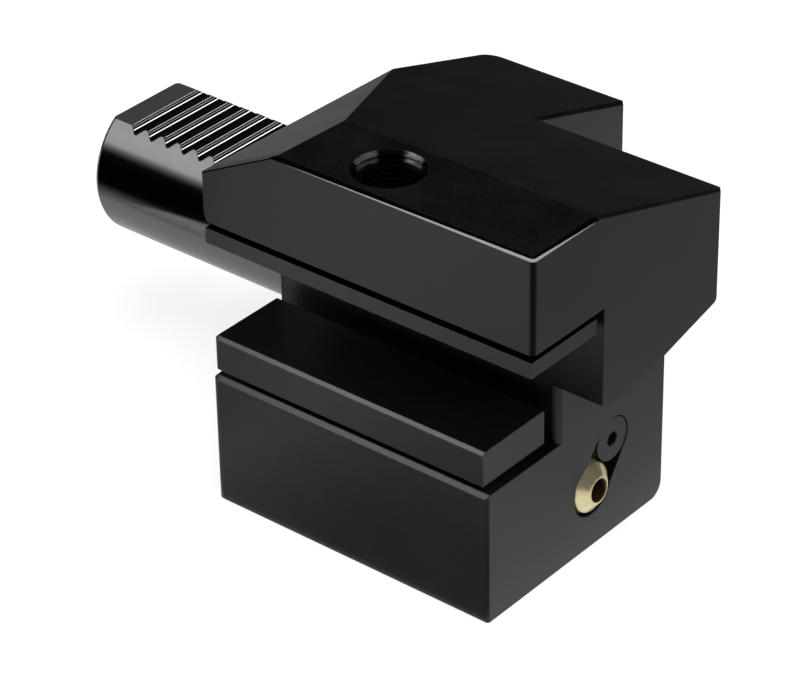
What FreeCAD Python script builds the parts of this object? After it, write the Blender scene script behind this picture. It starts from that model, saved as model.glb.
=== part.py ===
import FreeCAD, Part
import math
import os
from FreeCAD import Vector as V

os.makedirs("parts", exist_ok=True)

# ---------------------------------------------------------------------------
# Axial overhead turret tool holder, round serrated shank, 20 x 20 tool slot.
# Frame: origin where the shank axis meets the turret contact face,
# +X out of the turret (along the tool), +Y away from the tool slot, +Z up.
# All values in millimetres.
# ---------------------------------------------------------------------------

# shank
SHANK_R = 15.0
SHANK_L = 55.0
SHANK_CH_L = 0.6          # end chamfer, axial
SHANK_CH_R = 0.3          # end chamfer, radial
NECK_R = 14.6             # undercut at the root, inside the seal recess
FLAT_Z = 12.0             # serrated flat above the axis
FLAT_END = -21.3          # the flat runs from the end to here
TOOTH_FIRST = 4.9         # first tooth from the shank end
TOOTH_PITCH = 4.1
TOOTH_DEPTH = 1.05
TOOTH_SLANT = 1.55        # the flank on the end side leans by this
TOOTH_ROOT = 0.55         # flat at the bottom
TOOTH_LAND = 0.85
TOOTH_COUNT = 7

# block
L_UP = 72.0               # turret face to front of the upper block
L_LOW = 62.5              # turret face to front of the lower block
Y_NEAR = -43.4            # open side of the slot
Y_WALL = -24.0            # bottom of the slot
Y_RIDGE = -26.2           # where the flat top starts to fall away
Y_FAR = 9.8               # far side of the upper block
Y_FAR_LOW = 7.4           # far side of the lower block
Y_FLANGE = 37.0           # far side of the flange
X_FLANGE = 31.5           # flange thickness
Z_TOP = 43.1
Z_FAR = 32.4              # top edge at Y_FAR
Z_CEIL = 24.7             # roof of the slot
Z_SLAB_WALL = 5.1         # underside of the front slab at the slot wall
Z_SLAB_FAR = 9.7          # underside of the front slab at the far side
Z_LOW_TOP = -6.9          # top of the lower block
Z_BOT = -33.4
FACET_Z = 34.3            # sloping facet at the back top edge: height at the near back corner
FACET_SLOPE = 0.51        # its rise along X
FACET_TILT = -0.029       # its fall along Y
EDGE_TOP = 0.7            # chamfer of the near and front edges of the flat top
EDGE_FRONT = 1.0          # rounding of the near front vertical edge

# seat strip under the roof
SEAT_Z = 20.0             # seat face above the shank axis
STRIP_Y1 = -25.6
STRIP_X1 = 71.6
STRIP_GAP = 1.4           # rebate round the top edge of the strip
STRIP_REBATE = 2.6

# clamp bar
BAR_X0, BAR_X1 = 0.9, 61.6
BAR_Y1 = -26.4
BAR_Z0, BAR_Z1 = -5.2, 1.6
SCREW_Y = -34.9
CLAMP_X = (11.5, 31.0, 50.5)
CLAMP_R = 4.95            # M10 set screw
CLAMP_HOLE_R = 5.02
RETAIN_X = (21.25, 40.75)
RETAIN_R = 2.45           # M5 cap screw
RETAIN_HOLE_R = 2.75
RETAIN_HEAD_R = 4.2
POCKET_R = 4.75
LEDGE_Z = -16.0
HEAD_Z0, HEAD_Z1 = -29.6, -24.9
SPRING_RO, SPRING_RI = 4.2, 3.1

# top access hole and strip screw
HOLE_X, HOLE_Y = 34.9, -34.65
HOLE_R = 5.9
HOLE_MOUTH_R = 6.6
HOLE_FLOOR = 28.2
RING_PITCH = 1.25

# coolant
NOZ_Y, NOZ_Z = -13.5, -21.2
CHAN_R = 3.0
FEED_R = 2.5              # narrower drilling on to the nozzle
FEED_X = 17.0             # where the inlet's wide part ends
BALL_R = 5.3
BALL_X = 59.8
BORE_R = 5.4
BORE_FLOOR = 54.41
NOZ_TILT = -3.0           # nozzle points this much below level, degrees
DISC_Y, DISC_Z = -7.8, -13.7
DISC_R = 4.25
POCKET_D = 2.9
SPARE_Y = 13.5
CROSS_X = 20.0


def box(x0, x1, y0, y1, z0, z1):
    return Part.makeBox(x1 - x0, y1 - y0, z1 - z0, V(x0, y0, z0))


def cyl(r, p, d, l):
    return Part.makeCylinder(r, l, V(*p), V(*d))


def cone(r0, r1, p, d, l):
    return Part.makeCone(r0, r1, l, V(*p), V(*d))


def prism_x(pts, x0, x1):
    """Closed polygon of (y, z) pushed along X."""
    w = Part.makePolygon([V(x0, y, z) for y, z in pts] + [V(x0, *pts[0])])
    return Part.Face(w).extrude(V(x1 - x0, 0, 0))


def prism_y(pts, y0, y1):
    """Closed polygon of (x, z) pushed along Y."""
    w = Part.makePolygon([V(x, y0, z) for x, z in pts] + [V(pts[0][0], y0, pts[0][1])])
    return Part.Face(w).extrude(V(0, y1 - y0, 0))


def prism_z(pts, z0, z1):
    """Closed polygon of (x, y) pushed along Z."""
    w = Part.makePolygon([V(x, y, z0) for x, y in pts] + [V(pts[0][0], pts[0][1], z0)])
    return Part.Face(w).extrude(V(0, 0, z1 - z0))


def hexagon(af, c, d, l):
    """Hexagonal prism, across flats af, from c along the axis d."""
    r = af / math.sqrt(3.0)
    pts = [V(r * math.cos(math.radians(60 * k + 30)), r * math.sin(math.radians(60 * k + 30)), 0) for k in range(6)]
    s = Part.Face(Part.makePolygon(pts + [pts[0]])).extrude(V(0, 0, l))
    s.Placement = FreeCAD.Placement(V(*c), FreeCAD.Rotation(V(0, 0, 1), V(*d)))
    return s


def ring(major, minor, c, d):
    return Part.makeTorus(major, minor, V(*c), V(*d))


def edges(shape, test):
    out = []
    for e in shape.Edges:
        if e.Length < 1e-6:
            continue
        m = e.valueAt((e.FirstParameter + e.LastParameter) / 2.0)
        a, b = e.Vertexes[0].Point, e.Vertexes[-1].Point
        if test(m, a, b):
            out.append(e)
    return out


def near(v, w, tol=0.02):
    return abs(v - w) < tol


def chamfer(shape, size, test):
    es = edges(shape, test)
    if not es:
        print("no edge for a chamfer of", size)
        return shape
    return shape.makeChamfer(size, es)


def fillet(shape, size, test):
    es = edges(shape, test)
    if not es:
        print("no edge for a fillet of", size)
        return shape
    return shape.makeFillet(size, es)


def along(axis):
    def f(a, b):
        d = [abs(a.x - b.x), abs(a.y - b.y), abs(a.z - b.z)]
        k = "xyz".index(axis)
        return d[k] > 0.05 and all(d[i] < 0.01 for i in range(3) if i != k)
    return f


ax, ay, az = along("x"), along("y"), along("z")
solids = {}


def save(name, shape, refine=True):
    s = shape.removeSplitter() if refine else shape
    if s.ShapeType == "Compound" and len(s.Solids) == 1:
        s = s.Solids[0]
    ok = s.isValid() and all(q.isClosed() for q in s.Shells)
    bb = s.BoundBox
    print("%-24s solids %d valid %s vol %.1f  x %.2f..%.2f y %.2f..%.2f z %.2f..%.2f" % (
        name, len(s.Solids), ok, s.Volume, bb.XMin, bb.XMax, bb.YMin, bb.YMax, bb.ZMin, bb.ZMax))
    solids[name] = s
    s.exportStep("parts/%s.step" % name)


# ---------------------------------------------------------------------------
# Holder body: one forging with shank, block, flange and slot
# ---------------------------------------------------------------------------
slope = (Z_TOP - Z_FAR) / (Y_FAR - Y_RIDGE)


def z_slope(y):
    return Z_TOP - slope * (y - Y_RIDGE)


def facet_tool():
    """everything above the sloping, slightly tilted facet"""
    y0, dy = Y_NEAR - 10.0, 120.0
    z0 = FACET_Z - 10.0 * FACET_TILT
    w = [V(-1, y0, z0 - FACET_SLOPE), V(25, y0, z0 + 25 * FACET_SLOPE), V(25, y0, z0 + 40), V(-1, y0, z0 + 40)]
    return Part.Face(Part.makePolygon(w + [w[0]])).extrude(V(0, dy, dy * FACET_TILT))


# upper block, with the overhanging front slab
upper = prism_x([
    (Y_NEAR, Z_CEIL), (Y_NEAR, Z_TOP), (Y_RIDGE, Z_TOP), (Y_FAR, Z_FAR),
    (Y_FAR, Z_SLAB_FAR), (0.6, 7.5), (-6.3, 5.8), (-18.3, 3.75), (-21.0, 4.0), (Y_WALL, Z_SLAB_WALL), (Y_WALL, Z_CEIL)], 0, L_UP)
upper = fillet(upper, 1.8, lambda m, a, b: ax(a, b) and near(m.y, Y_FAR) and near(m.z, Z_SLAB_FAR))
upper = fillet(upper, 0.8, lambda m, a, b: ax(a, b) and near(m.y, Y_WALL) and near(m.z, Z_SLAB_WALL))
upper = chamfer(upper, 0.8, lambda m, a, b: az(a, b) and near(m.x, L_UP) and near(m.y, Y_FAR))
upper = fillet(upper, 0.5, lambda m, a, b: az(a, b) and near(m.x, 0) and near(m.y, Y_NEAR))
# lower back corner of the near face, rounded in its own plane
upper = upper.cut(prism_y([(-1, Z_CEIL - 1), (-1, Z_CEIL + 3.6), (-0.01, Z_CEIL + 3.6), (0.06, Z_CEIL + 2.4), (0.25, Z_CEIL + 1.3),
                           (0.58, Z_CEIL + 0.55), (1.05, Z_CEIL), (1.05, Z_CEIL - 1)], Y_NEAR - 1, Y_WALL))
# facet at the back top edge
upper = upper.cut(facet_tool())
upper = fillet(upper, EDGE_FRONT, lambda m, a, b: az(a, b) and near(m.x, L_UP) and near(m.y, Y_NEAR))
upper = chamfer(upper, EDGE_TOP, lambda m, a, b: (ax(a, b) and near(m.y, Y_NEAR) and near(m.z, Z_TOP)) or (ay(a, b) and near(m.x, L_UP) and near(m.z, Z_TOP)))
upper = chamfer(upper, 0.5, lambda m, a, b: (not az(a, b)) and near(m.x, L_UP) and m.z > 34.5 and m.z < Z_TOP - 0.9 and m.y > Y_RIDGE)

# web beside the slot and lower block
web = box(0, L_LOW, Y_WALL, Y_FAR_LOW, Z_LOW_TOP - 4, Z_SLAB_WALL + 12)
web = fillet(web, 1.5, lambda m, a, b: az(a, b) and near(m.x, L_LOW) and near(m.y, Y_WALL))
lower = box(0, L_LOW, Y_NEAR, Y_FAR_LOW, Z_BOT, Z_LOW_TOP)
lower = fillet(lower, 1.6, lambda m, a, b: az(a, b) and near(m.x, 0) and near(m.y, Y_NEAR))
lower = chamfer(lower, 0.6, lambda m, a, b: az(a, b) and near(m.x, L_LOW) and near(m.y, Y_NEAR))
lower = fillet(lower, 3.0, lambda m, a, b: ax(a, b) and near(m.y, Y_FAR_LOW) and near(m.z, Z_BOT))
lower = chamfer(lower, 0.8, lambda m, a, b: ax(a, b) and near(m.y, Y_NEAR) and near(m.z, Z_LOW_TOP))
lower = chamfer(lower, 0.25, lambda m, a, b: ax(a, b) and near(m.y, Y_NEAR) and near(m.z, Z_BOT))

# flange beyond the block, short along X
flange = prism_x([
    (Y_FAR_LOW - 8, Z_BOT), (Y_FLANGE - 6, Z_BOT), (Y_FLANGE, Z_BOT + 6), (Y_FLANGE, z_slope(Y_FLANGE)),
    (Y_FAR_LOW - 8, z_slope(Y_FAR_LOW - 8))], 0, X_FLANGE)
flange = fillet(flange, 3.0, lambda m, a, b: az(a, b) and near(m.x, 0) and near(m.y, Y_FLANGE))
flange = flange.cut(facet_tool())
flange = chamfer(flange, 0.6, lambda m, a, b: near(m.x, X_FLANGE) and (near(m.y, Y_FLANGE) or (m.z > 26 and m.y > 7.0)))

block = upper.fuse([web, lower, flange]).removeSplitter()

# shank with its serrated flat
# (the toothed length and the plain length stay two faces of one cylinder)
shank = cyl(SHANK_R, (-SHANK_L, 0, 0), (1, 0, 0), SHANK_L + FLAT_END)
shank = shank.common(cyl(SHANK_R + 1, (-SHANK_L + SHANK_CH_L, 0, 0), (1, 0, 0), SHANK_L + 3).fuse(
    cone(SHANK_R - SHANK_CH_R, SHANK_R, (-SHANK_L, 0, 0), (1, 0, 0), SHANK_CH_L)))
shank = shank.fuse(cyl(SHANK_R, (FLAT_END, 0, 0), (1, 0, 0), -FLAT_END))
shank = shank.fuse(cyl(NECK_R, (-1, 0, 0), (1, 0, 0), 4.0))
shank = shank.cut(prism_y([
    (-SHANK_L - 2, FLAT_Z), (FLAT_END, FLAT_Z), (FLAT_END + 1.2, FLAT_Z + 0.45), (FLAT_END + 3.4, SHANK_R + 1),
    (-SHANK_L - 2, SHANK_R + 1)], -20, 20))
for k in range(TOOTH_COUNT):
    x = -SHANK_L + TOOTH_FIRST + k * TOOTH_PITCH
    shank = shank.cut(prism_y([
        (x, FLAT_Z + 1), (x, FLAT_Z), (x + 0.25, FLAT_Z - 0.1), (x + TOOTH_SLANT - 0.12, FLAT_Z - TOOTH_DEPTH + 0.12),
        (x + TOOTH_SLANT + 0.08, FLAT_Z - TOOTH_DEPTH), (x + TOOTH_SLANT + TOOTH_ROOT, FLAT_Z - TOOTH_DEPTH),
        (x + TOOTH_PITCH - TOOTH_LAND - 0.12, FLAT_Z - 0.12), (x + TOOTH_PITCH - TOOTH_LAND + 0.12, FLAT_Z),
        (x + TOOTH_PITCH - TOOTH_LAND + 0.12, FLAT_Z + 1)], -20, 20))
# recess round the shank root for the ring that seals it, then the shank
body = block.cut(cyl(18.0, (-0.5, 0, 0), (1, 0, 0), 2.9))
body = body.fuse(shank)

# top access hole with its machined rings, and the screw seat below
hole = cyl(HOLE_R, (HOLE_X, HOLE_Y, HOLE_FLOOR), (0, 0, 1), 20)
hole = hole.fuse(cone(HOLE_MOUTH_R - 0.5, HOLE_MOUTH_R + 0.2, (HOLE_X, HOLE_Y, Z_TOP - 0.6), (0, 0, 1), 0.7))
hole = hole.fuse(cyl(3.3, (HOLE_X, HOLE_Y, Z_CEIL - 1), (0, 0, 1), 10))
z = Z_TOP - 1.2
while z > HOLE_FLOOR + 6.5:
    hole = hole.fuse(cone(HOLE_R - 0.05, HOLE_R + 0.42, (HOLE_X, HOLE_Y, z - 0.55), (0, 0, 1), 0.5))
    hole = hole.fuse(cone(HOLE_R + 0.42, HOLE_R - 0.05, (HOLE_X, HOLE_Y, z - 0.05), (0, 0, 1), 0.5))
    z -= RING_PITCH
body = body.cut(hole)

# dowel holes in the roof
for x in (8.0, 64.0):
    body = body.cut(cyl(2.03, (x, SCREW_Y + 0.6, Z_CEIL - 1), (0, 0, 1), 8.5))

# clamp screw holes and retaining screw pockets in the lower block
for x in CLAMP_X:
    body = body.cut(cyl(CLAMP_HOLE_R, (x, SCREW_Y, Z_BOT - 1), (0, 0, 1), 40))
    body = body.cut(cone(CLAMP_HOLE_R + 0.9, CLAMP_HOLE_R, (x, SCREW_Y, Z_BOT - 0.1), (0, 0, 1), 0.9))
for x in RETAIN_X:
    body = body.cut(cyl(RETAIN_HOLE_R, (x, SCREW_Y, Z_BOT - 1), (0, 0, 1), 40))
    body = body.cut(cyl(POCKET_R, (x, SCREW_Y, Z_BOT - 1), (0, 0, 1), LEDGE_Z - Z_BOT + 1))
    body = body.cut(cone(POCKET_R + 0.5, POCKET_R, (x, SCREW_Y, Z_BOT - 0.1), (0, 0, 1), 0.5))

# coolant channel, ball socket, clamp screw pocket, spare inlet and cross channel
body = body.cut(cyl(CHAN_R, (-1, NOZ_Y, NOZ_Z), (1, 0, 0), FEED_X + 1))
body = body.cut(cyl(FEED_R, (-1, NOZ_Y, NOZ_Z), (1, 0, 0), 60))
body = body.cut(cyl(BORE_R, (BORE_FLOOR, NOZ_Y, NOZ_Z), (1, 0, 0), 10))
body = body.cut(cyl(4.6, (-1, NOZ_Y, NOZ_Z), (1, 0, 0), 2.7))
dy, dz = DISC_Y - NOZ_Y, DISC_Z - NOZ_Z
dist = math.hypot(dy, dz)
uy, uz = dy / dist, dz / dist
px, pz = -uz, uy
pocket_r0, pocket_r1 = 5.05, DISC_R + 0.25
pocket = prism_x([
    (NOZ_Y + px * pocket_r0, NOZ_Z + pz * pocket_r0), (DISC_Y + px * pocket_r1, DISC_Z + pz * pocket_r1),
    (DISC_Y - px * pocket_r1, DISC_Z - pz * pocket_r1), (NOZ_Y - px * pocket_r0, NOZ_Z - pz * pocket_r0)],
    L_LOW - POCKET_D, L_LOW + 1)
pocket = pocket.fuse(cyl(pocket_r1, (L_LOW - POCKET_D, DISC_Y, DISC_Z), (1, 0, 0), POCKET_D + 1))
body = body.cut(pocket)
body = body.cut(cyl(2.55, (L_LOW - 14, DISC_Y, DISC_Z), (1, 0, 0), 16))
body = body.cut(cyl(CHAN_R, (CROSS_X, NOZ_Y, NOZ_Z), (0, 1, 0), 60))
body = body.cut(cyl(4.03, (CROSS_X, Y_FLANGE - 8, NOZ_Z), (0, 1, 0), 20))
body = body.cut(cyl(CHAN_R, (-1, SPARE_Y, NOZ_Z), (1, 0, 0), CROSS_X + 1))
body = body.cut(cyl(4.03, (-1, SPARE_Y, NOZ_Z), (1, 0, 0), 8.5))
save("holder_body", body, refine=False)

# ---------------------------------------------------------------------------
# Seat strip, its screw and its two dowels
# ---------------------------------------------------------------------------
strip = box(0.3, STRIP_X1, Y_NEAR + 0.1, STRIP_Y1, SEAT_Z, Z_CEIL - STRIP_GAP)
strip = strip.fuse(box(0.3 + STRIP_REBATE, STRIP_X1 - STRIP_REBATE, Y_NEAR + 0.1 + STRIP_REBATE, STRIP_Y1 - STRIP_REBATE,
                       Z_CEIL - STRIP_GAP - 0.1, Z_CEIL)).removeSplitter()
strip = chamfer(strip, 0.3, lambda m, a, b: near(m.z, SEAT_Z))
strip = strip.cut(cyl(2.52, (HOLE_X, HOLE_Y, SEAT_Z + 0.8), (0, 0, 1), 10))
for x in (8.0, 64.0):
    strip = strip.cut(cyl(2.03, (x, SCREW_Y + 0.6, SEAT_Z + 0.8), (0, 0, 1), 10))
save("seat_strip", strip)

screw = cyl(5.0, (HOLE_X, HOLE_Y, HOLE_FLOOR), (0, 0, 1), 6.0)
screw = chamfer(screw, 0.4, lambda m, a, b: near(m.z, HOLE_FLOOR + 6.0))
screw = screw.fuse(cyl(2.5, (HOLE_X, HOLE_Y, SEAT_Z + 1.0), (0, 0, 1), HOLE_FLOOR - SEAT_Z - 0.9)).removeSplitter()
screw = screw.cut(hexagon(5.0, (HOLE_X, HOLE_Y, HOLE_FLOOR + 3.0), (0, 0, 1), 4.0))
save("seat_strip_screw", screw)

pins = []
for x in (8.0, 64.0):
    p = cyl(2.0, (x, SCREW_Y + 0.6, SEAT_Z + 1.0), (0, 0, 1), 10.2)
    p = chamfer(p, 0.35, lambda m, a, b: near(m.z, SEAT_Z + 1.0) or near(m.z, SEAT_Z + 11.2))
    pins.append(p)
save("seat_strip_dowels", Part.makeCompound(pins))

# ---------------------------------------------------------------------------
# Clamp bar, its two retaining screws and springs, three clamp screws
# ---------------------------------------------------------------------------
bar = box(BAR_X0, BAR_X1, Y_NEAR, BAR_Y1, BAR_Z0, BAR_Z1)
bar = fillet(bar, 1.2, lambda m, a, b: az(a, b) and near(m.x, BAR_X0) and near(m.y, Y_NEAR))
bar = chamfer(bar, 0.15, lambda m, a, b: az(a, b) and near(m.x, BAR_X1))
bar = chamfer(bar, 0.6, lambda m, a, b: ax(a, b) and near(m.y, Y_NEAR) and near(m.z, BAR_Z1))
bar = chamfer(bar, 0.5, lambda m, a, b: ax(a, b) and near(m.y, BAR_Y1) and near(m.z, BAR_Z1))
for x in RETAIN_X:
    bar = bar.cut(cyl(RETAIN_R + 0.03, (x, SCREW_Y, BAR_Z0 - 1), (0, 0, 1), 5.8))
save("clamp_bar", bar)

for tag, x in zip(("rear", "front"), RETAIN_X):
    s = cyl(RETAIN_HEAD_R, (x, SCREW_Y, HEAD_Z0), (0, 0, 1), HEAD_Z1 - HEAD_Z0)
    s = chamfer(s, 0.4, lambda m, a, b: near(m.z, HEAD_Z0))
    s = s.fuse(cyl(RETAIN_R, (x, SCREW_Y, HEAD_Z1 - 0.5), (0, 0, 1), BAR_Z0 + 4.5 - HEAD_Z1 + 0.5)).removeSplitter()
    s = s.cut(hexagon(4.0, (x, SCREW_Y, HEAD_Z0 - 1.0), (0, 0, 1), 3.6))
    save("bar_retaining_screw_%s" % tag, s)
    t = cyl(SPRING_RO, (x, SCREW_Y, HEAD_Z1), (0, 0, 1), LEDGE_Z - HEAD_Z1)
    t = t.cut(cyl(SPRING_RI, (x, SCREW_Y, HEAD_Z1 - 1), (0, 0, 1), LEDGE_Z - HEAD_Z1 + 2))
    save("bar_spring_%s" % tag, t)

for tag, x in zip(("rear", "middle", "front"), CLAMP_X):
    zb = -28.6
    s = cyl(CLAMP_R, (x, SCREW_Y, zb), (0, 0, 1), BAR_Z0 - 0.05 - 1.6 - zb)
    s = chamfer(s, 0.7, lambda m, a, b: near(m.z, zb) or near(m.z, BAR_Z0 - 1.65))
    s = s.fuse(cyl(3.5, (x, SCREW_Y, BAR_Z0 - 2.2), (0, 0, 1), 2.15)).removeSplitter()
    s = s.cut(hexagon(5.0, (x, SCREW_Y, zb - 1.0), (0, 0, 1), 6.5))
    save("clamp_screw_%s" % tag, s)

# ---------------------------------------------------------------------------
# Coolant nozzle, its seal, its clamp screw, plugs and shank seals
# ---------------------------------------------------------------------------
ball = Part.makeSphere(BALL_R, V(0, 0, 0), V(1, 0, 0), -90, 90, 360)
ball = ball.cut(box(-10, -4.1, -10, 10, -10, 10))
nose_prof = [V(1.2, 0, 0), V(1.2, 0, 5.1), V(2.5, 0, 4.65), V(4.0, 0, 2.8), V(4.15, 0, 2.5), V(4.15, 0, 0)]
nose = Part.Face(Part.makePolygon(nose_prof + [nose_prof[0]])).revolve(V(0, 0, 0), V(1, 0, 0), 360)
ball = ball.cut(box(2.5, 10, -10, 10, -10, 10)).fuse(nose).removeSplitter()
ball = ball.cut(cyl(2.0, (-8, 0, 0), (1, 0, 0), 20))
ball = ball.cut(cone(1.9, 2.3, (3.75, 0, 0), (1, 0, 0), 0.45))
ball.Placement = FreeCAD.Placement(V(BALL_X, NOZ_Y, NOZ_Z), FreeCAD.Rotation(V(0, 1, 0), NOZ_TILT))
save("coolant_nozzle", ball)

save("nozzle_seal", ring(4.3, 0.8, (BALL_X - 4.48, NOZ_Y, NOZ_Z), (1, 0, 0)))

cs = cone(DISC_R - 2.2, DISC_R, (L_LOW - 2.5, DISC_Y, DISC_Z), (1, 0, 0), 2.2)
cs = cs.fuse(cyl(DISC_R, (L_LOW - 0.3, DISC_Y, DISC_Z), (1, 0, 0), 0.2))
cs = cs.fuse(cyl(2.4, (L_LOW - 12, DISC_Y, DISC_Z), (1, 0, 0), 10)).removeSplitter()
cs = cs.cut(hexagon(2.7, (L_LOW - 2.4, DISC_Y, DISC_Z), (1, 0, 0), 4))
save("nozzle_clamp_screw", cs)

plug = cyl(4.0, (CROSS_X, Y_FLANGE - 7.2, NOZ_Z), (0, 1, 0), 6.6)
plug = chamfer(plug, 0.5, lambda m, a, b: near(m.y, Y_FLANGE - 7.2) or near(m.y, Y_FLANGE - 0.6))
plug = plug.cut(hexagon(4.0, (CROSS_X, Y_FLANGE - 3.8, NOZ_Z), (0, 1, 0), 5))
save("cross_channel_plug", plug)

plug = cyl(4.0, (0.5, SPARE_Y, NOZ_Z), (1, 0, 0), 6.6)
plug = chamfer(plug, 0.5, lambda m, a, b: near(m.x, 0.5) or near(m.x, 7.1))
plug = plug.cut(hexagon(4.0, (-1.0, SPARE_Y, NOZ_Z), (1, 0, 0), 4.7))
save("spare_inlet_plug", plug)

save("shank_seal_ring", ring(16.3, 1.15, (1.2, 0, 0), (1, 0, 0)))
save("coolant_inlet_seal", ring(3.75, 0.72, (0.8, NOZ_Y, NOZ_Z), (1, 0, 0)))
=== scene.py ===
import bpy
import bmesh
import math
from mathutils import Matrix, Vector


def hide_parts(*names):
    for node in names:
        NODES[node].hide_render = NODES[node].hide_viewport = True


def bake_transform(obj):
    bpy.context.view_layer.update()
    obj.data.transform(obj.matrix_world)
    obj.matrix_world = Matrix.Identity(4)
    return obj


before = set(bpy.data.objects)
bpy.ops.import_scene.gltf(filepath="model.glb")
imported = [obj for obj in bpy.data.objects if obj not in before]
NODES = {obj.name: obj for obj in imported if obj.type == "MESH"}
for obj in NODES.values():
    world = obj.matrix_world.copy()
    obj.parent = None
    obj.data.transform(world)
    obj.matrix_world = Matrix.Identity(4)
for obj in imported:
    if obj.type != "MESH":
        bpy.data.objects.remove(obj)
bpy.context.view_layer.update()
MM = 0.001

# ---------------------------------------------------------------------------
# dimensions shared with the construction, millimetres
# ---------------------------------------------------------------------------
HOLE = (34.9, -34.65)
NOZ = (59.8, -13.5, -21.2)
NOZ_TILT = math.radians(-3.0)
TOOTH_X0 = -50.1
TOOTH_PITCH = 4.1
FLAT_Z = 12.0
TOP_Z = 43.1
TOP_EDGE = 42.4
NEAR_Y = -43.4
FRONT_X = 72.0
FLOOR_Z = -33.45
SCREW_Y = -34.9
SPRING_X = {"rear": 21.25, "front": 40.75}
SPRING_Z = (-24.9, -16.0)


# ---------------------------------------------------------------------------
# small helper for node materials
# ---------------------------------------------------------------------------
class Graph:
    """A Principled material whose inputs are built from the object position in millimetres."""

    def __init__(self, name):
        self.m = bpy.data.materials.new(name)
        self.m.use_nodes = True
        self.t = self.m.node_tree
        self.t.nodes.clear()
        self.out = self.t.nodes.new("ShaderNodeOutputMaterial")
        self.b = self.t.nodes.new("ShaderNodeBsdfPrincipled")
        self.t.links.new(self.b.outputs["BSDF"], self.out.inputs["Surface"])
        self.tc = self.t.nodes.new("ShaderNodeTexCoord")
        self.geo = self.t.nodes.new("ShaderNodeNewGeometry")
        n = self.t.nodes.new("ShaderNodeVectorMath")
        n.operation = "SCALE"
        n.inputs["Scale"].default_value = 1000.0
        self.link(self.tc.outputs["Object"], n.inputs[0])
        self.p = n.outputs["Vector"]
        s = self.t.nodes.new("ShaderNodeSeparateXYZ")
        self.link(self.p, s.inputs[0])
        self.x, self.y, self.z = s.outputs[0], s.outputs[1], s.outputs[2]

    def link(self, a, b):
        self.t.links.new(a, b)

    def put(self, v, socket):
        if isinstance(v, bpy.types.NodeSocket):
            self.link(v, socket)
        elif isinstance(v, (tuple, list)):
            socket.default_value = tuple(v) + ((1.0,) if len(v) == 3 and len(socket.default_value) == 4 else ())
        else:
            socket.default_value = v

    def math(self, op, a, b=0.0, c=0.0, clamp=False):
        n = self.t.nodes.new("ShaderNodeMath")
        n.operation = op
        n.use_clamp = clamp
        for v, s in zip((a, b, c), n.inputs):
            self.put(v, s)
        return n.outputs[0]

    def add(self, a, b):
        return self.math("ADD", a, b)

    def sub(self, a, b):
        return self.math("SUBTRACT", a, b)

    def mul(self, a, b, clamp=False):
        return self.math("MULTIPLY", a, b, clamp=clamp)

    def maxi(self, a, b):
        return self.math("MAXIMUM", a, b)

    def mini(self, a, b):
        return self.math("MINIMUM", a, b)

    def inv(self, a):
        return self.math("SUBTRACT", 1.0, a, clamp=True)

    def ramp(self, v, a, b, lo=0.0, hi=1.0, smooth=True):
        """lo below a, hi above b (a may be larger than b)."""
        n = self.t.nodes.new("ShaderNodeMapRange")
        n.interpolation_type = "SMOOTHSTEP" if smooth else "LINEAR"
        n.clamp = True
        if a > b:
            a, b, lo, hi = b, a, hi, lo
        self.put(v, n.inputs["Value"])
        for key, val in (("From Min", a), ("From Max", b), ("To Min", lo), ("To Max", hi)):
            n.inputs[key].default_value = val
        return n.outputs["Result"]

    def band(self, v, a, b, soft):
        """1 between a and b, falling to 0 over soft outside."""
        return self.mul(self.ramp(v, a - soft, a), self.ramp(v, b + soft, b))

    def scaled(self, sx, sy, sz, src=None):
        n = self.t.nodes.new("ShaderNodeVectorMath")
        n.operation = "MULTIPLY"
        self.link(src or self.p, n.inputs[0])
        n.inputs[1].default_value = (sx, sy, sz)
        return n.outputs["Vector"]

    def vec(self, x, y, z):
        n = self.t.nodes.new("ShaderNodeCombineXYZ")
        for v, s in zip((x, y, z), n.inputs):
            self.put(v, s)
        return n.outputs[0]

    def noise(self, scale, detail=3.0, rough=0.55, vec=None, out="Fac"):
        n = self.t.nodes.new("ShaderNodeTexNoise")
        n.noise_dimensions = "3D"
        self.link(vec or self.p, n.inputs["Vector"])
        n.inputs["Scale"].default_value = scale
        n.inputs["Detail"].default_value = detail
        n.inputs["Roughness"].default_value = rough
        return n.outputs[out]

    def voronoi(self, scale, vec=None):
        n = self.t.nodes.new("ShaderNodeTexVoronoi")
        self.link(vec or self.p, n.inputs["Vector"])
        n.inputs["Scale"].default_value = scale
        return n.outputs["Distance"]

    def mix(self, fac, a, b):
        n = self.t.nodes.new("ShaderNodeMix")
        n.data_type = "RGBA"
        n.blend_type = "MIX"
        n.clamp_factor = True
        self.put(fac, n.inputs[0])
        self.put(a, n.inputs[6])
        self.put(b, n.inputs[7])
        return n.outputs[2]

    def fmix(self, fac, a, b):
        n = self.t.nodes.new("ShaderNodeMix")
        n.data_type = "FLOAT"
        n.clamp_factor = True
        self.put(fac, n.inputs[0])
        self.put(a, n.inputs[2])
        self.put(b, n.inputs[3])
        return n.outputs[0]

    def bevel(self, radius_mm, samples=4):
        n = self.t.nodes.new("ShaderNodeBevel")
        n.samples = samples
        n.inputs["Radius"].default_value = radius_mm * MM
        return n.outputs["Normal"]

    def dot(self, a, b):
        n = self.t.nodes.new("ShaderNodeVectorMath")
        n.operation = "DOT_PRODUCT"
        self.put(a, n.inputs[0])
        self.put(b, n.inputs[1])
        return n.outputs["Value"]

    def edge(self, radius_mm, lo, hi, samples=4):
        """1 on the sharp edges of the mesh."""
        return self.ramp(self.dot(self.bevel(radius_mm, samples), self.geo.outputs["Normal"]), hi, lo)

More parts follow.
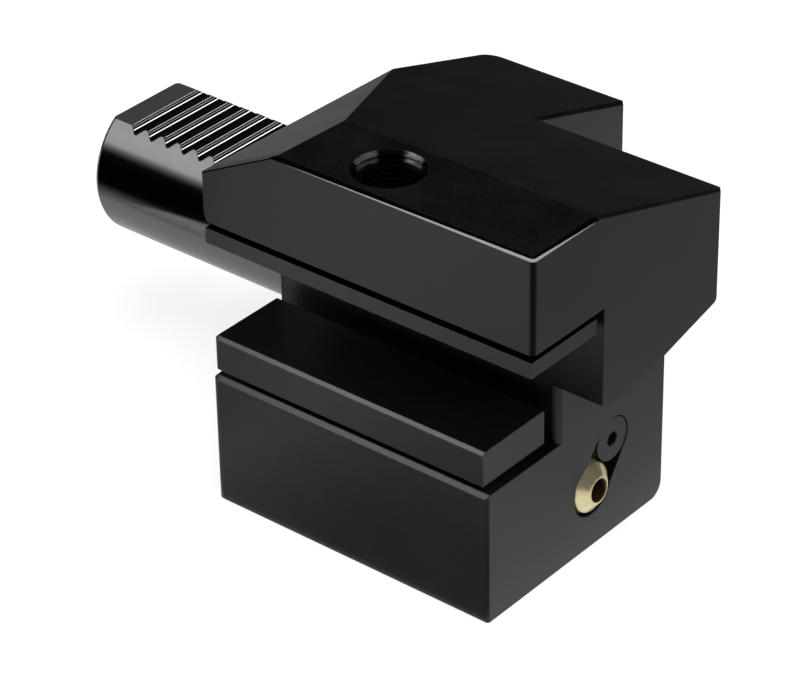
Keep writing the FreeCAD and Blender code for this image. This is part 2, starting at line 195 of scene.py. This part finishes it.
    def bump(self, height, distance_mm, strength=1.0, normal=None):
        n = self.t.nodes.new("ShaderNodeBump")
        n.inputs["Strength"].default_value = strength
        n.inputs["Distance"].default_value = distance_mm * MM
        self.link(height, n.inputs["Height"])
        if normal is not None:
            self.link(normal, n.inputs["Normal"])
        return n.outputs["Normal"]

    def set(self, **kw):
        names = {"color": "Base Color", "metal": "Metallic", "rough": "Roughness", "normal": "Normal", "ior": "IOR",
                 "spec": "Specular IOR Level"}
        for k, v in kw.items():
            self.put(v, self.b.inputs[names[k]])
        return self.m


def radial(g, cy, cz, axis="x"):
    """distance from an axis line, mm"""
    a, b = {"x": (g.y, g.z), "z": (g.x, g.y), "y": (g.x, g.z)}[axis]
    da, db = g.sub(a, cy), g.sub(b, cz)
    return g.math("SQRT", g.add(g.mul(da, da), g.mul(db, db)))


# ---------------------------------------------------------------------------
# materials
# ---------------------------------------------------------------------------
def body_steel():
    g = Graph("body_steel")
    r = radial(g, 0.0, 0.0)
    shank = g.mul(g.math("LESS_THAN", g.x, 2.45), g.math("LESS_THAN", r, 15.3))

    # black oxide: nearly black, blotchy, with tiny light specks and a fine satin grain
    blot = g.noise(0.09, 4.0, 0.6)
    fine = g.noise(1.3, 3.0, 0.6)
    grain = g.noise(5.5, 2.0, 0.7)
    tone = g.add(g.mul(blot, 0.65), g.mul(fine, 0.35))
    black = g.mix(g.ramp(tone, 0.36, 0.66), (0.0021, 0.0021, 0.0022), (0.0052, 0.0052, 0.0053))
    speck = g.mul(g.ramp(g.voronoi(0.85), 0.085, 0.045), g.ramp(g.noise(0.35, 2.0), 0.56, 0.66))
    black = g.mix(g.mul(speck, 0.7), black, (0.045, 0.045, 0.044))
    rough_black = g.add(g.add(0.30, g.mul(blot, 0.08)), g.mul(grain, 0.10))

    # edges where handling has thinned the oxide
    edge = g.edge(0.22, 0.90, 0.985)
    worn = g.mul(edge, g.ramp(g.noise(0.55, 4.0, 0.7), 0.42, 0.70))
    black = g.mix(g.mul(worn, 0.55), black, (0.050, 0.050, 0.048))

    # the two edges of the flat top: a painted highlight line low on the bevel,
    # thin at the back and wide at the front corner; the rest of the bevel is painted near-black as painted shade
    on_near = g.mul(g.ramp(g.y, NEAR_Y + 0.74, NEAR_Y + 0.70), g.ramp(g.z, TOP_EDGE - 0.01, TOP_EDGE + 0.03))
    near_top = g.add(g.ramp(g.x, 18.0, 72.0, 0.04, 0.39, smooth=False), TOP_EDGE)
    near_line = g.mul(g.mul(on_near, g.math("LESS_THAN", g.z, near_top)), g.ramp(g.x, 17.0, 26.0))
    on_front = g.mul(g.ramp(g.x, FRONT_X - 0.74, FRONT_X - 0.70), g.ramp(g.z, TOP_EDGE - 0.01, TOP_EDGE + 0.03))
    front_top = g.add(g.ramp(g.y, -43.0, -26.5, 0.38, 0.04, smooth=False), TOP_EDGE)
    front_line = g.mul(g.mul(on_front, g.math("LESS_THAN", g.z, front_top)), g.ramp(g.y, -26.2, -27.5))
    bright = g.mul(g.maxi(near_line, front_line), g.ramp(g.noise(0.8, 3.0), 0.15, 0.35, 0.75, 1.0))
    on_edge = g.mul(g.maxi(on_near, on_front), g.ramp(g.y, -25.8, -26.4))
    # painted shade: dark lines on the near front corner and the foot of the back facet
    corner = g.mul(g.mul(g.ramp(g.x, FRONT_X - 1.0, FRONT_X - 0.5), g.ramp(g.y, NEAR_Y + 1.0, NEAR_Y + 0.5)),
                   g.mul(g.math("GREATER_THAN", g.z, 20.0), 0.75))
    facet = g.sub(g.add(g.mul(g.x, 0.51), g.add(34.3 - 43.4 * 0.029, g.mul(g.y, -0.029))), g.z)
    foot = g.mul(g.mul(g.band(facet, 0.03, 0.26, 0.04), g.math("LESS_THAN", g.y, -40.6)), g.math("LESS_THAN", g.x, 17.4))
    edge_shade = g.maxi(g.maxi(g.mul(on_edge, g.inv(bright)), corner), foot)

    # bore of the top hole: painted shade, near-black, with two painted highlight arcs near the mouth
    rh = radial(g, HOLE[0], HOLE[1], "z")
    bore = g.mul(g.math("LESS_THAN", rh, 6.75), g.mul(g.math("LESS_THAN", g.z, TOP_Z - 0.03), g.math("GREATER_THAN", g.z, 29.0)))
    top_of_bore = g.ramp(g.z, 40.2, 42.2)
    hx = g.math("DIVIDE", g.sub(g.x, HOLE[0]), g.maxi(rh, 0.1))
    hy = g.math("DIVIDE", g.sub(g.y, HOLE[1]), g.maxi(rh, 0.1))
    arc_a = g.ramp(g.add(g.mul(hx, math.cos(math.radians(172))), g.mul(hy, math.sin(math.radians(172)))), 0.89, 0.965)
    arc_b = g.ramp(g.add(g.mul(hx, math.cos(math.radians(85))), g.mul(hy, math.sin(math.radians(85)))), 0.92, 0.975)
    swirl = g.noise(1.0, 3.0, 0.7, g.scaled(0.5, 0.5, 7.0))
    bore_highlight = g.mul(g.mul(g.mul(bore, top_of_bore), g.maxi(arc_a, arc_b)), g.ramp(swirl, 0.34, 0.54))

    # bright ground shank
    marks = g.noise(1.0, 2.0, 0.5, g.scaled(7.0, 0.16, 0.16))
    cloud = g.noise(0.10, 3.0)
    steel = g.mix(marks, (0.166, 0.1645, 0.1635), (0.188, 0.186, 0.184))
    steel = g.mix(g.mul(g.ramp(cloud, 0.45, 0.75), 0.15), steel, (0.14, 0.137, 0.134))
    rough_steel = g.add(0.10, g.mul(marks, 0.04))
    # milled flat and teeth: the teeth get painted highlight lines on their steep flanks and painted shade,
    # near-black, elsewhere
    inside = g.mul(shank, g.math("LESS_THAN", r, 14.945))
    flat = g.mul(inside, g.mul(g.math("GREATER_THAN", g.z, 9.6), g.math("LESS_THAN", g.x, -17.5)))
    teeth = g.mul(flat, g.math("GREATER_THAN", g.x, TOOTH_X0 - 0.02))
    phase = g.math("MODULO", g.add(g.sub(g.x, TOOTH_X0), 410.0), TOOTH_PITCH)
    steep = g.mul(g.math("LESS_THAN", phase, 1.4), teeth)
    streak = g.ramp(g.noise(1.0, 2.0, 0.5, g.scaled(6.0, 0.25, 6.0)), 0.30, 0.55, 0.80, 1.0)
    # painted highlight: three bright lines across each steep flank stand for reflections
    l1 = g.mul(g.band(phase, 0.07, 0.15, 0.015), 0.55)
    l2 = g.mul(g.band(phase, 0.46, 0.54, 0.015), 0.27)
    l3 = g.band(phase, 0.90, 1.04, 0.015)
    lines = g.mul(g.mul(g.maxi(g.maxi(l1, l2), l3), steep), streak)
    mill = g.noise(1.0, 2.0, 0.5, g.scaled(4.0, 0.25, 1.0))
    flat_col = g.mix(mill, (0.0225, 0.0225, 0.0225), (0.034, 0.034, 0.034))
    tooth_col = g.mix(lines, (0.0016, 0.0016, 0.0017), (0.93, 0.93, 0.93))
    flat_col = g.mix(teeth, flat_col, tooth_col)

    # painted shade: the bore and the edge lines are painted near-black
    col = g.mix(g.maxi(bore, edge_shade), black, (0.0012, 0.0012, 0.0012))
    # painted highlight: the two arcs in the bore
    col = g.mix(bore_highlight, col, (0.075, 0.075, 0.074))
    # painted highlight: the lines on the two top edges
    col = g.mix(bright, col, (0.245, 0.245, 0.242))
    col = g.mix(shank, col, steel)
    col = g.mix(flat, col, flat_col)
    metal = g.mul(bore_highlight, 0.4)
    metal = g.fmix(shank, metal, 1.0)
    metal = g.fmix(flat, metal, 0.0)
    rough = g.fmix(bore, rough_black, 0.42)
    rough = g.fmix(bore_highlight, rough, 0.25)
    rough = g.fmix(shank, rough, rough_steel)
    rough = g.fmix(flat, rough, 0.55)
    rough = g.fmix(edge_shade, rough, 0.7)
    # no specular on the painted-shade bore, the painted edge shade and the painted edge highlights; the teeth keep a
    # twentieth of it
    spec = g.inv(g.maxi(g.mul(bore, g.inv(bore_highlight)), g.maxi(edge_shade, bright)))
    spec = g.mul(g.mul(spec, g.fmix(teeth, 1.0, 0.05)), 0.5)
    slope = g.sub(g.z, g.add(g.mul(g.y, -0.2972), TOP_Z - 26.2 * 0.2972))
    spec = g.mul(spec, g.fmix(g.mul(g.ramp(slope, -0.25, -0.10), g.ramp(g.y, -26.5, -25.9)), 1.0, 0.6))

    h = g.add(g.mul(grain, 0.5), g.mul(fine, 0.5))
    h = g.fmix(shank, h, g.mul(marks, 0.35))
    n = g.bump(h, 0.010, 0.5, g.bevel(0.28))
    return g.set(color=col, metal=metal, rough=rough, normal=n, ior=1.42, spec=spec)


def hardened_steel():
    """strip and clamp bar: ground along their length, oxide finish a little lighter than the body"""
    g = Graph("hardened_steel")
    lines = g.noise(1.0, 3.0, 0.6, g.scaled(0.06, 5.0, 5.0))
    blot = g.noise(0.11, 4.0, 0.6)
    grain = g.noise(5.0, 2.0, 0.7)
    col = g.mix(g.add(g.mul(lines, 0.5), g.mul(blot, 0.5)), (0.0014, 0.0014, 0.0015), (0.0040, 0.0040, 0.0040))
    edge = g.edge(0.22, 0.90, 0.985)
    worn = g.mul(edge, g.ramp(g.noise(0.5, 4.0, 0.7), 0.34, 0.62))
    col = g.mix(g.mul(worn, 0.75), col, (0.085, 0.085, 0.083))
    speck = g.mul(g.ramp(g.voronoi(0.8), 0.08, 0.04), g.ramp(g.noise(0.4, 2.0), 0.54, 0.64))
    col = g.mix(g.mul(speck, 0.6), col, (0.06, 0.06, 0.06))
    # painted shade: the narrow gap over the strip is painted near-black and gets no specular
    gap_shade = g.mul(g.math("GREATER_THAN", g.z, 23.28), g.math("LESS_THAN", g.z, 25.0))
    col = g.mix(gap_shade, col, (0.0008, 0.0008, 0.0008))
    rough = g.add(g.add(0.27, g.mul(lines, 0.10)), g.mul(blot, 0.08))
    n = g.bump(g.add(g.mul(lines, 0.6), g.mul(grain, 0.3)), 0.010, 0.5, g.bevel(0.25))
    return g.set(color=col, metal=0.0, rough=rough, normal=n, ior=1.46, spec=g.fmix(gap_shade, 0.5, 0.0))


def screw_steel():
    g = Graph("screw_steel")
    blot = g.noise(0.45, 4.0, 0.6)
    grain = g.noise(6.0, 2.0, 0.7)
    col = g.mix(blot, (0.0030, 0.0030, 0.0031), (0.0085, 0.0085, 0.0084))
    edge = g.edge(0.16, 0.88, 0.98)
    worn = g.mul(edge, g.ramp(g.noise(0.9, 4.0, 0.7), 0.36, 0.62))
    col = g.mix(g.mul(worn, 0.8), col, (0.14, 0.14, 0.135))
    speck = g.mul(g.ramp(g.voronoi(1.6), 0.10, 0.05), g.ramp(g.noise(0.7, 2.0), 0.50, 0.60))
    col = g.mix(g.mul(speck, 0.8), col, (0.15, 0.15, 0.145))
    rough = g.add(0.28, g.mul(blot, 0.16))
    n = g.bump(g.add(g.mul(grain, 0.4), g.mul(blot, 0.4)), 0.014, 0.5, g.bevel(0.15))
    return g.set(color=col, metal=0.0, rough=rough, normal=n, ior=1.45, spec=0.36)


def spring_steel():
    g = Graph("spring_steel")
    draw = g.noise(1.0, 2.0, 0.5, g.scaled(1.5, 1.5, 9.0))
    blot = g.noise(0.8, 3.0)
    col = g.mix(draw, (0.22, 0.215, 0.205), (0.34, 0.33, 0.315))
    col = g.mix(g.mul(g.ramp(blot, 0.5, 0.8), 0.5), col, (0.12, 0.115, 0.11))
    rough = g.add(0.24, g.mul(draw, 0.14))
    return g.set(color=col, metal=1.0, rough=rough, normal=g.bump(draw, 0.008, 0.5))


def pin_steel():
    g = Graph("pin_steel")
    marks = g.noise(1.0, 2.0, 0.5, g.scaled(0.3, 0.3, 9.0))
    col = g.mix(marks, (0.40, 0.395, 0.385), (0.52, 0.515, 0.50))
    rough = g.add(0.14, g.mul(marks, 0.12))
    return g.set(color=col, metal=1.0, rough=rough, normal=g.bump(marks, 0.006, 0.5, g.bevel(0.12)))


def nozzle_brass():
    """turned brass: fine rings round the nozzle's own axis, painted shade in the hole and under the rim"""
    g = Graph("nozzle_brass")
    ax = (math.cos(NOZ_TILT), 0.0, -math.sin(NOZ_TILT))
    n = g.t.nodes.new("ShaderNodeVectorMath")
    n.operation = "SUBTRACT"
    g.link(g.p, n.inputs[0])
    n.inputs[1].default_value = NOZ
    rel = n.outputs["Vector"]
    u = g.dot(rel, ax)
    rr = g.math("SQRT", g.maxi(g.sub(g.dot(rel, rel), g.mul(u, u)), 0.0))
    turned = g.noise(1.0, 2.0, 0.5, g.vec(g.mul(rr, 9.0), g.mul(u, 5.0), 0.0))
    blot = g.noise(0.9, 4.0, 0.65)
    fine = g.noise(4.0, 3.0, 0.7)
    col = g.mix(turned, (0.72, 0.63, 0.365), (0.86, 0.775, 0.48))
    col = g.mix(g.mul(g.ramp(blot, 0.46, 0.74), 0.45), col, (0.56, 0.47, 0.26))
    col = g.mix(g.mul(g.ramp(g.voronoi(1.9), 0.10, 0.05), 0.5), col, (0.20, 0.15, 0.07))
    # painted shade: the hole is painted dark brown
    hole = g.ramp(rr, 2.40, 2.22)
    col = g.mix(hole, col, (0.10, 0.062, 0.024))
    # painted shade: darker towards the nozzle's base, under the rim
    back = g.ramp(u, 0.6, -0.6)
    col = g.mix(g.mul(back, 0.6), col, (0.25, 0.19, 0.08))
    rough = g.add(g.add(0.22, g.mul(turned, 0.10)), g.mul(fine, 0.10))
    rough = g.fmix(hole, rough, 0.45)
    nn = g.bump(g.add(g.mul(turned, 0.6), g.mul(fine, 0.4)), 0.012, 0.55, g.bevel(0.16))
    return g.set(color=col, metal=0.85, rough=rough, normal=nn)


def seal_rubber():
    g = Graph("seal_rubber")
    fine = g.noise(3.5, 3.0, 0.7)
    blot = g.noise(0.5, 3.0)
    col = g.mix(g.add(g.mul(fine, 0.4), g.mul(blot, 0.6)), (0.012, 0.012, 0.0125), (0.030, 0.030, 0.031))
    rough = g.add(0.50, g.mul(fine, 0.2))
    return g.set(color=col, metal=0.0, rough=rough, normal=g.bump(fine, 0.02, 0.5), ior=1.5)


MAT = {
    "body_steel": body_steel(),
    "hardened_steel": hardened_steel(),
    "screw_steel": screw_steel(),
    "spring_steel": spring_steel(),
    "pin_steel": pin_steel(),
    "nozzle_brass": nozzle_brass(),
    "seal_rubber": seal_rubber(),
}
FINISH = {
    "holder_body": "body_steel",
    "seat_strip": "hardened_steel",
    "clamp_bar": "hardened_steel",
    "seat_strip_screw": "screw_steel",
    "bar_retaining_screw_rear": "screw_steel",
    "bar_retaining_screw_front": "screw_steel",
    "clamp_screw_rear": "screw_steel",
    "clamp_screw_middle": "screw_steel",
    "clamp_screw_front": "screw_steel",
    "nozzle_clamp_screw": "screw_steel",
    "cross_channel_plug": "screw_steel",
    "spare_inlet_plug": "screw_steel",
    "seat_strip_dowels": "pin_steel",
    "coolant_nozzle": "nozzle_brass",
    "nozzle_seal": "seal_rubber",
    "shank_seal_ring": "seal_rubber",
    "coolant_inlet_seal": "seal_rubber",
    "bar_spring_rear": "spring_steel",
    "bar_spring_front": "spring_steel",
}
for node, slot in FINISH.items():
    mats = NODES[node].data.materials
    mats.clear()
    mats.append(MAT[slot])


# ---------------------------------------------------------------------------
# wire springs in place of their plain sleeves
# ---------------------------------------------------------------------------
def spring(tag, x):
    z0, z1 = SPRING_Z
    wire = 0.5
    mean = 3.65
    turns_free, closed = 4.5, 0.9
    pts = []
    total = turns_free + 2 * closed
    steps = int(total * 40)
    for i in range(steps + 1):
        t = i / steps * total
        if t < closed:
            h = z0 + wire + t * (2 * wire) * 0.98
        elif t > total - closed:
            h = z1 - wire - (total - t) * (2 * wire) * 0.98
        else:
            a = z0 + wire + closed * 2 * wire * 0.98
            b = z1 - wire - closed * 2 * wire * 0.98
            h = a + (b - a) * (t - closed) / turns_free
        ang = 2 * math.pi * t
        pts.append(Vector((x + mean * math.cos(ang), SCREW_Y + mean * math.sin(ang), h)))
    bm = bmesh.new()
    seg = 14
    rings = []
    for i, p in enumerate(pts):
        d = (pts[min(i + 1, steps)] - pts[max(i - 1, 0)]).normalized()
        out = Vector((p.x - x, p.y - SCREW_Y, 0.0)).normalized()
        up = d.cross(out).normalized()
        out = up.cross(d).normalized()
        ring = []
        for k in range(seg):
            a = 2 * math.pi * k / seg
            q = p + (out * math.cos(a) + up * math.sin(a)) * wire
            q.z = min(max(q.z, z0 + 0.02), z1 - 0.02)      # ground ends
            ring.append(bm.verts.new(q * MM))
        rings.append(ring)
    for a, b in zip(rings, rings[1:]):
        for k in range(seg):
            bm.faces.new((a[k], a[(k + 1) % seg], b[(k + 1) % seg], b[k]))
    bm.faces.new(list(reversed(rings[0])))
    bm.faces.new(rings[-1])
    bmesh.ops.recalc_face_normals(bm, faces=bm.faces)
    me = bpy.data.meshes.new("spring_wire_" + tag)
    bm.to_mesh(me)
    bm.free()
    for f in me.polygons:
        f.use_smooth = True
    ob = bpy.data.objects.new("spring_wire_" + tag, me)
    bpy.context.scene.collection.objects.link(ob)
    me.materials.append(MAT["spring_steel"])
    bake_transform(ob)
    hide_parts("bar_spring_" + tag)
    return ob


for tag, x in SPRING_X.items():
    spring(tag, x)


# ---------------------------------------------------------------------------
# stage: pale floor, pale surround, soft light, gradient cards
# ---------------------------------------------------------------------------
def plane(name, corners, material):
    me = bpy.data.meshes.new(name)
    me.from_pydata([tuple(c * MM for c in p) for p in corners], [], [(0, 1, 2, 3)])
    ob = bpy.data.objects.new(name, me)
    bpy.context.scene.collection.objects.link(ob)
    me.materials.append(material)
    return ob


def seen_by(ob, camera=True, diffuse=True, glossy=True, shadow=True):
    ob.visible_camera = camera
    ob.visible_diffuse = diffuse
    ob.visible_glossy = glossy
    ob.visible_transmission = glossy
    ob.visible_shadow = shadow


def glow(name, build):
    """emission material, strength from build(graph)"""
    g = Graph(name)
    e = g.t.nodes.new("ShaderNodeEmission")
    g.t.nodes.remove(g.b)
    g.put(build(g), e.inputs["Strength"])
    g.link(e.outputs[0], g.out.inputs["Surface"])
    return g.m


def floor_paint():
    g = Graph("pale_floor")
    f = g.noise(0.02, 3.0)
    col = g.mix(f, (0.250, 0.250, 0.250), (0.262, 0.262, 0.262))
    g.put((1.0, 1.0, 1.0), g.b.inputs["Emission Color"])
    g.put(0.78, g.b.inputs["Emission Strength"])
    return g.set(color=col, metal=0.0, rough=0.85, ior=1.3)


# floor, a disc big enough for every view
me = bpy.data.meshes.new("pale_floor")
bm = bmesh.new()
bmesh.ops.create_circle(bm, cap_ends=True, radius=0.34, segments=96)
bm.to_mesh(me)
bm.free()
floor = bpy.data.objects.new("pale_floor", me)
bpy.context.scene.collection.objects.link(floor)
floor.location = (0.01, 0.0, FLOOR_Z * MM)
me.materials.append(floor_paint())

# pale surround behind everything, seen directly only
me = bpy.data.meshes.new("pale_surround")
bm = bmesh.new()
bmesh.ops.create_icosphere(bm, subdivisions=4, radius=6.0)
bmesh.ops.reverse_faces(bm, faces=bm.faces)
bm.to_mesh(me)
bm.free()
dome = bpy.data.objects.new("pale_surround", me)
bpy.context.scene.collection.objects.link(dome)
me.materials.append(glow("surround_glow", lambda g: 1.0))
seen_by(dome, diffuse=False, glossy=False, shadow=False)


# gradient light panel on the left: black low down, bright above
def panel(g):
    up = g.ramp(g.z, 31.0, 64.0, smooth=False)
    return g.mul(g.mul(up, up), 1.58)


card = plane("gradient_panel", [(-260, -100, -33.2), (-56, -100, -33.2), (-56, -100, 250), (-260, -100, 250)],
             glow("panel_glow", panel))
seen_by(card, camera=False, diffuse=False, shadow=False)


# dark sheet just above the floor below that panel, seen only in reflections: painted reflection shade, fading out
# towards the holder
def reflection_shade_material(name, build):
    g = Graph(name)
    g.t.nodes.remove(g.b)
    tr = g.t.nodes.new("ShaderNodeBsdfTransparent")
    em = g.t.nodes.new("ShaderNodeEmission")
    em.inputs["Strength"].default_value = 0.0
    mx = g.t.nodes.new("ShaderNodeMixShader")
    g.put(build(g), mx.inputs[0])
    g.link(tr.outputs[0], mx.inputs[1])
    g.link(em.outputs[0], mx.inputs[2])
    g.link(mx.outputs[0], g.out.inputs["Surface"])
    return g.m


# sheets seen by glossy rays only: painted reflection shade over the floor
def reflection_shade_sheet(name, x0, x1, y0, y1, build):
    z = FLOOR_Z + 0.3
    ob = plane(name, [(x0, y0, z), (x1, y0, z), (x1, y1, z), (x0, y1, z)], reflection_shade_material(name, build))
    seen_by(ob, camera=False, diffuse=False, shadow=False)
    return ob




def left_reflection_shade(g):
    t = g.ramp(g.y, -76.0, -34.0, smooth=False)
    cover = g.inv(g.mul(g.mul(t, t), 0.57))
    return g.mul(cover, g.maxi(g.ramp(g.x, -8.0, -22.0), g.ramp(g.y, -48.0, -42.0)))


reflection_shade_sheet("dark_reflection_shade_left", -300, -3, -100, 70, left_reflection_shade)
reflection_shade_sheet("dark_reflection_shade_front", 92, 172, -128, -66,
            lambda g: g.mul(g.mul(g.ramp(g.y, -66.0, -76.0), g.ramp(g.y, -128.0, -118.0)), g.mul(g.ramp(g.x, 92.0, 106.0), g.ramp(g.x, 172.0, 158.0))))
# grey sheets near and right: lighter painted reflection shade
reflection_shade_sheet("grey_reflection_shade_near", -80, 91, -200, -44,
            lambda g: g.mul(g.ramp(g.x, -45.0, 32.0), g.ramp(g.y, -135.0, -60.0, 0.29, 0.77, smooth=False)))
reflection_shade_sheet("grey_reflection_shade_right", 66, 260, -60, 200, lambda g: g.add(g.ramp(g.x, 70.0, 130.0, 0.15, 0.46, smooth=False), g.ramp(g.y, -30.0, 40.0, 0.0, 0.20, smooth=False)))


def area(name, direction, distance, size, power, glossy, target=(0.01, -0.01, 0.0)):
    li = bpy.data.lights.new(name, "AREA")
    li.shape = "SQUARE"
    li.size = size
    li.energy = power
    ob = bpy.data.objects.new(name, li)
    bpy.context.scene.collection.objects.link(ob)
    d = Vector(direction).normalized()
    ob.location = Vector(target) + d * distance
    ob.rotation_euler = d.to_track_quat("Z", "Y").to_euler()
    seen_by(ob, camera=False, glossy=glossy)
    return ob


area("overhead", (0.42, -0.10, 0.90), 1.7, 1.9, 52.0, False)
area("left_softbox", (-0.543, -0.531, 0.651), 0.9, 0.42, 4.1, True)

world = bpy.data.worlds.new("studio")
bpy.context.scene.world = world
world.use_nodes = True
wt = world.node_tree
wt.nodes.clear()
wo = wt.nodes.new("ShaderNodeOutputWorld")
bg = wt.nodes.new("ShaderNodeBackground")
wc = wt.nodes.new("ShaderNodeTexCoord")
ws = wt.nodes.new("ShaderNodeSeparateXYZ")
wr = wt.nodes.new("ShaderNodeMapRange")
wr.interpolation_type = "SMOOTHSTEP"
for key, val in (("From Min", -0.16), ("From Max", -0.02), ("To Min", 0.15), ("To Max", 0.008)):
    wr.inputs[key].default_value = val
wt.links.new(wc.outputs["Generated"], ws.inputs[0])
wt.links.new(ws.outputs[2], wr.inputs["Value"])
wt.links.new(wr.outputs["Result"], bg.inputs["Strength"])
bg.inputs["Color"].default_value = (1.0, 1.0, 1.0, 1.0)
wt.links.new(bg.outputs[0], wo.inputs[0])

# ---------------------------------------------------------------------------
# camera at the photograph's viewing angle
# ---------------------------------------------------------------------------
cam = bpy.data.objects.new("camera", bpy.data.cameras.new("camera"))
bpy.context.scene.collection.objects.link(cam)
cam.data.lens = 152.7378
cam.data.sensor_width = 36.0
cam.data.sensor_fit = "HORIZONTAL"
cam.data.clip_start = 0.05
cam.data.clip_end = 30.0
right = Vector((0.7732115, 0.6339971, -0.0138415))
down = Vector((0.3275864, -0.4180173, -0.8473185))
fwd = Vector((-0.5429835, 0.6506221, -0.5309047))
m = Matrix.Identity(4)
for i in range(3):
    m[i][0], m[i][1], m[i][2] = right[i], -down[i], -fwd[i]
m[0][3], m[1][3], m[2][3] = 357.647 * MM, -417.684 * MM, 323.464 * MM
cam.matrix_world = m
bpy.context.scene.camera = cam
bpy.context.scene.view_settings.view_transform = "Standard"
bpy.context.scene.view_settings.look = "None"
bpy.context.scene.view_settings.exposure = 0.0
bpy.context.scene.view_settings.gamma = 1.0
